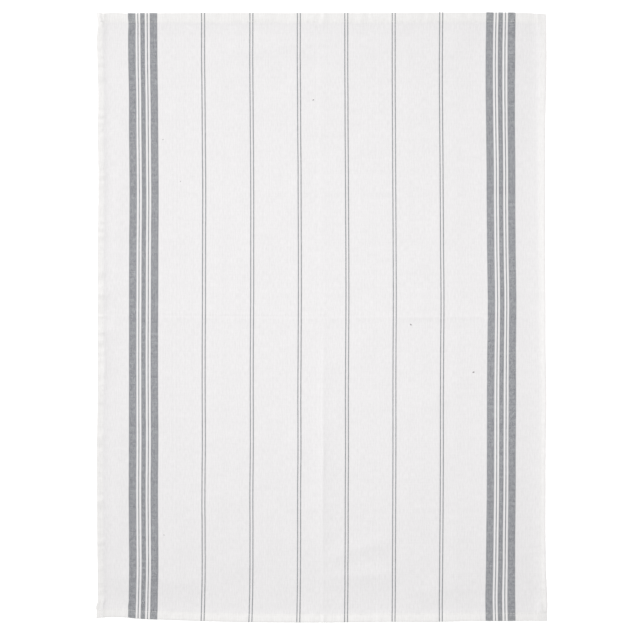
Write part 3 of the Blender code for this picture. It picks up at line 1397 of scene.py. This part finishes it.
@dataclass
class TowelSheet:
    """The towel's cloth: one closed sheet with its four hems turned under.

    Attributes:
        outline: the finished towel.
        left, right: the side hems, which are turned first.
        bottom, top: the end hems, which are turned over them.
        relief: how the cloth stands off the surface.
        finish: the cloth's finish.
        thickness: the cloth's thickness.
        squeeze: how much the layers are pressed together where hems cross.
        clearance: the room under the cloth for the thread on its back.
        column_pitch, row_pitch: the spacing of the lines of points over the single cloth.
        crease_lines: extra lines on each side of a press crease.
        fall_lines: extra lines beside a hem, from its inner fold.
    """

    outline: Outline = Outline()
    left: HemFold = HemFold(width=6.7 * MM, fall=5.5 * MM, seam_dip=0.06)
    right: HemFold = HemFold(width=6.7 * MM, fall=5.5 * MM, seam_dip=0.06)
    bottom: HemFold = HemFold(width=9.4 * MM, fall=25.0 * MM, fall_power=2.2)
    top: HemFold = HemFold(width=11.2 * MM, fall=25.0 * MM, fall_power=2.2)
    relief: Relief = Relief()
    finish: WovenCotton = WovenCotton()
    thickness: float = 0.30 * MM
    squeeze: float = 0.55
    clearance: float = 0.20 * MM
    column_pitch: float = 3.9 * MM
    row_pitch: float = 2.9 * MM
    crease_lines: tuple[float, ...] = (7.0 * MM, 4.5 * MM, 2.8 * MM, 1.6 * MM, 0.7 * MM, 0.0)
    fall_lines: tuple[float, ...] = (0.8 * MM, 1.9 * MM, 3.3 * MM, 5.5 * MM)

    @property
    def flat_cut(self) -> tuple[float, float]:
        """The width and length that the cloth was cut to before it was hemmed."""
        return (self.outline.width + self.left.turned_under + self.right.turned_under,
                self.outline.length + self.bottom.turned_under + self.top.turned_under)

    @property
    def hems(self) -> Hems:
        """The hem at each edge."""
        return dict(zip(Edge, (self.left, self.right, self.bottom, self.top)))

    def side_cover(self, across: Array) -> Array:
        """How high the side hems stand, as a share of their full rise."""
        return np.maximum(self.left.cover(across), self.right.cover(self.outline.width - across))

    def end_cover(self, along: Array) -> Array:
        """How high the end hems stand, as a share of their full rise."""
        return np.maximum(self.bottom.cover(along), self.top.cover(self.outline.length - along))

    def half_lines(self, fold: HemFold, size: float, pitch: float) -> list[Station]:
        """The lines of points from one raw edge to the middle of the towel.

        Args:
            fold: the hem at that edge.
            size: the finished size across all the lines.
            pitch: the lines' spacing over the single cloth.

        Returns:
            The lines, the one in the middle last.
        """
        fall = [fold.width + distance for distance in self.fall_lines]
        crease = [size / 2 - distance for distance in self.crease_lines]
        steps = round((crease[0] - fall[-1]) / pitch)
        field = np.linspace(fall[-1], crease[0], steps + 1)[1:-1]
        return fold.stations() + [Station(Stretch.FIELD, 1.0, float(place))
                                  for place in (*fall, *field, *crease)]

    def fold_columns(self, fold: HemFold, lines: list[Station]) -> tuple[Array, Array, Array]:
        """Folds the lines of one side under.

        Args:
            fold: the side's hem.
            lines: its lines of points.

        Returns:
            Their distances in from the folded edge, their heights over the lowest layer, and
            their places on the flat cut.
        """
        zero = np.zeros(1)
        placed = [fold.place(line, zero, zero, zero + fold.pitch) for line in lines]
        inset, rise = (np.concatenate(found) for found in zip(*placed))
        return inset, rise, np.array([line.flat for line in lines])

    def fold_rows(self, fold: HemFold, lines: list[Station], cover: Array,
                  rise: Array) -> tuple[Array, Array, Array, Array]:
        """Folds the lines of one end under, with the side hems in them.

        Args:
            fold: the end's hem.
            lines: its lines of points.
            cover: how high the side hems stand at each column.
            rise: each column's height over the lowest layer.

        Returns:
            The points' distances in from the folded edge, their heights over the lowest layer,
            how thick the cloth is, as a share, and each line's place on the flat cut.
        """
        insets, heights, shares = [], [], []
        for line in lines:
            end_cover = fold.cover(np.array(line.flat)) if line.stretch is Stretch.FIELD else 1.0
            share = 1 - self.squeeze * cover * end_cover
            stack = 2 * fold.pitch * cover * share
            inset, height = fold.place(line, stack, rise * share, fold.pitch * share)
            insets.append(inset)
            heights.append(height)
            shares.append(share)
        flat = np.array([line.flat for line in lines])
        return np.array(insets), np.array(heights), np.array(shares), flat

    def points(self) -> tuple[Array, Array, Array]:
        """Works out the sheet's middle surface.

        Returns:
            The points as rows of lines, their places on the flat cut, and the cloth's thickness
            at each as a share of the full one.
        """
        towel = self.outline
        near, far = (self.fold_columns(fold, self.half_lines(fold, towel.width, self.column_pitch))
                     for fold in (self.left, self.right))
        across = join_halves(near[0], towel.width - far[0])
        rise = join_halves(near[1], far[1])
        across_flat = join_halves(near[2], towel.width - far[2])
        cover = self.side_cover(across)

        near, far = (self.fold_rows(fold, self.half_lines(fold, towel.length, self.row_pitch),
                                    cover, rise) for fold in (self.bottom, self.top))
        along = join_halves(near[0], towel.length - far[0])
        height = join_halves(near[1], far[1])
        share = join_halves(near[2], far[2])
        along_flat = join_halves(near[3], towel.length - far[3])

        across = np.broadcast_to(across, along.shape)
        x, y = towel.place(across, along)
        z = self.ground + height + self.relief.lift(towel, self.hems, across, along)
        flat_places = np.stack(np.meshgrid(across_flat, along_flat), axis=-1)
        return np.stack((x, y, z), axis=-1), flat_places, share

    @property
    def ground(self) -> float:
        """The height of the lowest layer's middle."""
        return self.thickness / 2 + self.clearance

    def surface(self, across: Array, along: Array, face: Face) -> Array:
        """Finds points on the outside of the laid towel.

        Args:
            across, along: the places, from the left and bottom edges.
            face: the side of the towel.

        Returns:
            The points, one row of three for each place, still off-centre as the sheet's are.
        """
        towel = self.outline
        side_cover, end_cover = self.side_cover(across), self.end_cover(along)
        share = 1 - self.squeeze * side_cover * end_cover
        stack = 2 * self.left.pitch * side_cover * share
        over = 2 * (stack + self.bottom.pitch * share) * end_cover + stack
        x, y = towel.place(across, along)
        z = self.ground + self.relief.lift(towel, self.hems, across, along)
        z = z + face.value * share * self.thickness / 2 + (over if face is Face.FRONT else 0.0)
        return np.stack((x, y, z), axis=-1)

    def build(self) -> tuple[bpy.types.Object, Array]:
        """Builds the sheet, over the CAD solid that it stands for.

        Returns:
            The piece, and the shift that centres it and whatever is sewn to it.
        """
        points, flat, share = self.points()
        rows, columns = share.shape
        low, high = points[..., :2].min(axis=(0, 1)), points[..., :2].max(axis=(0, 1))
        box_middle = [(a + b) / 2 for a, b in zip(*CAD_BOX)]
        shift = np.array((box_middle[0], box_middle[1], 0.0)) - np.append((low + high) / 2, 0.0)
        corner = np.arange(rows * columns).reshape(rows, columns)
        around = (corner[:-1, :-1], corner[:-1, 1:], corner[1:, 1:], corner[1:, :-1])
        faces = np.stack(around, axis=-1).reshape(-1, 4).tolist()
        mesh = new_mesh("towel_cloth", points + shift, faces)
        flat = flat.reshape(-1, 2)
        write_map(mesh, FLAT_MAP, flat)
        write_map(mesh, BAKE_MAP, (flat - flat.min(axis=0)) / np.ptp(flat, axis=0))
        piece = add_piece("towel_cloth", mesh, self.finish.material(self.outline, self.hems))
        layers = piece.vertex_groups.new(name="thickness")
        for value in np.unique(share):
            layers.add(np.flatnonzero(share == value).tolist(), float(value), "REPLACE")
        solid = piece.modifiers.new("thickness", "SOLIDIFY")
        solid.thickness = self.thickness
        solid.offset = 0.0
        solid.vertex_group = layers.name
        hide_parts(NODE)
        return piece, shift


# ---------------------------------------------------------------------------------------------
# What is sewn or caught in the cloth


@dataclass
class HemStitching:
    """One hem's line of lock stitches, on both faces of the towel.

    Attributes:
        edge: the hem's edge.
        sheet: the cloth that it is sewn to.
        finish: the thread's finish.
        stitch: from one stitch to the next.
        drawn: how long a stitch shows, as a share of that.
        half: the least and most that half a stitch takes of that length.
        thread: the thread's radius.
        thin, thin_power: how much thinner the thread is at a stitch's ends, and how suddenly.
        dive, dive_power: how deep its ends go into the cloth, in radii, and how suddenly.
        stray, spread: how far a stitch strays from the line, and how widely that differs.
        end_gap: from the line's ends to the towel's edges.
        rings, sides: points along and around a stitch.
        seed: what the unevenness of the first edge's stitches is drawn from.
    """

    edge: Edge
    sheet: TowelSheet
    finish: SewingThread = SewingThread()
    stitch: float = 2.9 * MM
    drawn: float = 0.92
    half: tuple[float, float] = (0.46, 0.52)
    thread: float = 0.19 * MM
    thin: float = 0.35
    thin_power: int = 4
    dive: float = 1.5
    dive_power: int = 3
    stray: float = 0.12 * MM
    spread: float = 0.5
    end_gap: float = 2.4 * MM
    rings: int = 6
    sides: int = 6
    seed: int = 41

    @property
    def runs_along(self) -> bool:
        """Whether the hem runs up the towel's length."""
        return self.edge in SIDES

    def seam_places(self, run: Array, beside: Array) -> tuple[Array, Array]:
        """Turns places along and beside the seam into places on the towel.

        Args:
            run: distances along the seam.
            beside: distances from it, to the right or upwards.

        Returns:
            Distances from the left and bottom edges.
        """
        towel = self.sheet.outline
        seam = self.sheet.hems[self.edge].seam
        size = towel.width if self.runs_along else towel.length
        line = seam if self.edge in (Edge.LEFT, Edge.BOTTOM) else size - seam
        across, along = line + beside, run
        return (across, along) if self.runs_along else (along, across)

    def stitches(self, face: Face, lots: np.random.Generator) -> Array:
        """Works out the stitches on one face.

        Args:
            face: the face of the towel.
            lots: where their unevenness comes from.

        Returns:
            The points, by stitch, ring and side.
        """
        length = self.sheet.outline.length if self.runs_along else self.sheet.outline.width
        count = int((length - 2 * self.end_gap) / self.stitch)
        offset = 0.0 if face is Face.FRONT else self.stitch / 2
        middle = self.end_gap + offset + self.stitch * (np.arange(count) + 0.5)
        reach = np.linspace(-1.0, 1.0, self.rings)
        half = self.stitch * self.drawn * lots.uniform(*self.half, count)
        slant = lots.normal(0.0, self.spread, count) * self.stray
        stray = lots.normal(0.0, self.spread, count) * self.stray
        run = middle[:, None] + half[:, None] * reach
        beside = stray[:, None] + slant[:, None] * reach
        centre = self.sheet.surface(*self.seam_places(run, beside), face)
        depth = self.thread * self.dive * np.abs(reach) ** self.dive_power
        centre[..., 2] -= face.value * depth
        turn = tau * np.arange(self.sides) / self.sides
        radius = self.thread * (1.0 - self.thin * reach**self.thin_power)
        side = radius[:, None] * np.cos(turn)
        up = radius[:, None] * np.sin(turn)
        none = np.zeros_like(side)
        ring = np.stack((side, none, up) if self.runs_along else (none, side, up), axis=-1)
        return centre[:, :, None, :] + ring

    def build(self, shift: Array) -> bpy.types.Object:
        """Builds the stitching.

        Args:
            shift: what centres the cloth.

        Returns:
            The piece.
        """
        lots = np.random.default_rng(self.seed + list(Edge).index(self.edge))
        points = np.concatenate([self.stitches(face, lots) for face in Face]) + shift
        count = len(points)
        ring = np.arange(self.sides)
        after = np.roll(ring, -1)
        step = self.sides * np.arange(self.rings - 1)[:, None]
        over = step + self.sides
        quads = np.stack((step + ring, step + after, over + after, over + ring), axis=-1)
        quads = quads.reshape(-1, 4)
        if not self.runs_along:
            quads = quads[:, ::-1]
        first = self.rings * self.sides * np.arange(count)[:, None, None]
        faces = (first + quads).reshape(-1, 4).tolist()
        near, far = ring[::-1], ring + self.sides * (self.rings - 1)
        caps = np.stack((near, far)) if self.runs_along else np.stack((near[::-1], far[::-1]))
        faces += (first + caps).reshape(-1, self.sides).tolist()
        name = f"{self.edge.value}_hem_stitching"
        mesh = new_mesh(name, points, faces)
        around, along = np.meshgrid(ring / self.sides, np.linspace(0.0, 1.0, self.rings))
        places = np.tile(np.stack((around, along), axis=-1).reshape(-1, 2), (count, 1))
        write_map(mesh, FLAT_MAP, places)
        write_map(mesh, BAKE_MAP, places)
        return add_piece(name, mesh, self.finish.material())


@dataclass
class SeedSpecks:
    """Small dark specks of seed husk caught in the yarn.

    Attributes:
        sheet: the cloth that holds them.
        finish: their finish.
        specks: their places and sizes.
        slender: a speck's width and height, as shares of its length.
        rounds: how often a speck's ball is divided.
        rugged: how uneven a speck is, as a share of its size.
        seed: what that is drawn from.
    """

    sheet: TowelSheet
    finish: SeedHusk = SeedHusk()
    specks: tuple[Speck, ...] = (
        Speck(-0.0098, 0.2431, 2.1 * MM, 20),
        Speck(0.0987, -0.0083, 2.3 * MM, -35),
        Speck(0.1691, -0.0620, 2.5 * MM, 15),
        Speck(-0.1584, 0.1515, 1.3 * MM, 70),
        Speck(-0.1774, 0.1984, 1.2 * MM, 40),
        Speck(-0.1763, -0.2453, 1.4 * MM, -20),
    )
    slender: tuple[float, float] = (0.55, 0.22)
    rounds: int = 2
    rugged: float = 0.12
    seed: int = 7

    def build(self, shift: Array) -> bpy.types.Object:
        """Builds the specks.

        Args:
            shift: what centres the cloth.

        Returns:
            The piece.
        """
        lots = np.random.default_rng(self.seed)
        towel = self.sheet.outline
        points, faces, places = [], [], []
        for speck in self.specks:
            ball = bmesh.new()
            bmesh.ops.create_icosphere(ball, subdivisions=self.rounds, radius=0.5)
            shape = np.array([point.co for point in ball.verts])
            turns = np.arctan2(shape[:, 1], shape[:, 0]) / tau + 0.5
            first = sum(len(found) for found in points)
            faces += [[first + point.index for point in side.verts] for side in ball.faces]
            ball.free()
            places.append(np.stack((turns, shape[:, 2] + 0.5), axis=-1))
            shape = shape * (1 + lots.normal(0.0, self.rugged, (len(shape), 1)))
            shape = shape * speck.length * np.array((1.0, *self.slender))
            c, s = cos(radians(speck.turn)), sin(radians(speck.turn))
            shape = shape @ np.array(((c, s, 0.0), (-s, c, 0.0), (0.0, 0.0, 1.0)))
            spot = self.sheet.surface(np.array([speck.x - shift[0] + towel.width / 2]),
                                      np.array([speck.y - shift[1] + towel.length / 2]), Face.FRONT)
            points.append(shape + spot + shift)
        mesh = new_mesh("seed_specks", np.concatenate(points), faces)
        write_map(mesh, FLAT_MAP, np.concatenate(places))
        return add_piece("seed_specks", mesh, self.finish.material())


# ---------------------------------------------------------------------------------------------
# The studio


@dataclass(frozen=True)
class Lamp:
    """A soft square lamp.

    Attributes:
        name: the lamp's name.
        place: where it hangs.
        aim: the spot that it faces.
        size: its side.
        power: its power in watts.
    """

    name: str
    place: tuple[float, float, float]
    aim: tuple[float, float, float]
    size: float
    power: float

    def build(self) -> None:
        """Hangs the lamp."""
        data = bpy.data.lights.new(self.name, "AREA")
        data.size = self.size
        data.energy = self.power
        lamp = new_object(self.name, data)
        lamp.location = self.place
        away = Vector(self.place) - Vector(self.aim)
        lamp.rotation_euler = away.to_track_quat("Z", "Y").to_euler()
        lamp.visible_camera = False


@dataclass
class Studio:
    """A pale floor, soft light from the upper left, and a camera looking straight down.

    Attributes:
        paper: the floor's finish.
        floor_size: the floor's side.
        floor_gap: how far the floor lies below the towel.
        sky: the strength of the even light from all round.
        lamps: the lamps.
        view_width: the width of the floor that the picture takes in.
        view_middle: what the camera looks at, from the towel's middle.
        lens, sensor: the camera's lens and sensor, in millimetres.
    """

    paper: StudioPaper = StudioPaper()
    floor_size: float = 8.0
    floor_gap: float = 0.05 * MM
    sky: float = 0.518
    lamps: tuple[Lamp, ...] = (
        Lamp("key_lamp", place=(-2.27, 2.71, 1.88), aim=(0.0, 0.0, 0.0), size=1.6, power=95.4),
        Lamp("overhead_lamp", place=(0.05, -0.05, 1.00), aim=(0.05, -0.05, 0.0), size=0.4,
             power=3.16),
    )
    view_width: float = 0.7153
    view_middle: tuple[float, float] = (-1.8 * MM, -3.1 * MM)
    lens: float = 100.0
    sensor: float = 36.0

    def build_floor(self) -> bpy.types.Object:
        """Lays the floor.

        Returns:
            The floor.
        """
        x, y = self.floor_size / 2 * np.array(((-1, 1, 1, -1), (-1, -1, 1, 1)))
        corners = np.stack((x, y, np.full(4, -self.floor_gap)), axis=-1)
        mesh = new_mesh("studio_floor", corners, [[0, 1, 2, 3]])
        mesh.materials.append(self.paper.material())
        floor = new_object("studio_floor", mesh)
        return floor

    def build_light(self) -> None:
        """Lights the floor evenly from all round, and hangs the lamps."""
        scene = bpy.context.scene
        scene.world = scene.world or bpy.data.worlds.new("studio")
        scene.world.use_nodes = True
        sky = scene.world.node_tree.nodes["Background"]
        sky.inputs["Color"].default_value = PLAIN_WHITE
        sky.inputs["Strength"].default_value = self.sky
        for lamp in self.lamps:
            lamp.build()

    def build_camera(self) -> None:
        """Sets the camera straight above the towel."""
        data = bpy.data.cameras.new("camera")
        data.lens = self.lens
        data.sensor_width = self.sensor
        camera = new_object("camera", data)
        camera.location = (*self.view_middle, self.view_width * self.lens / self.sensor)
        bpy.context.scene.camera = camera
        bpy.context.scene.view_settings.view_transform = "Standard"


def report(piece: bpy.types.Object) -> None:
    """Logs a piece's name and how many faces its mesh has."""
    LOG.info("%s: %d faces", piece.name, len(piece.data.polygons))


def main() -> None:
    """Builds the towel's pieces and the studio."""
    logging.basicConfig(level=logging.INFO, format="%(name)s: %(message)s")
    studio = Studio()
    studio.build_camera()
    studio.build_light()
    floor = studio.build_floor()
    sheet = TowelSheet()
    cloth, shift = sheet.build()
    report(cloth)
    for edge in Edge:
        stitching = HemStitching(edge, sheet).build(shift)
        report(stitching)
    specks = SeedSpecks(sheet).build(shift)
    report(specks)


if __name__ == "__main__":
    main()
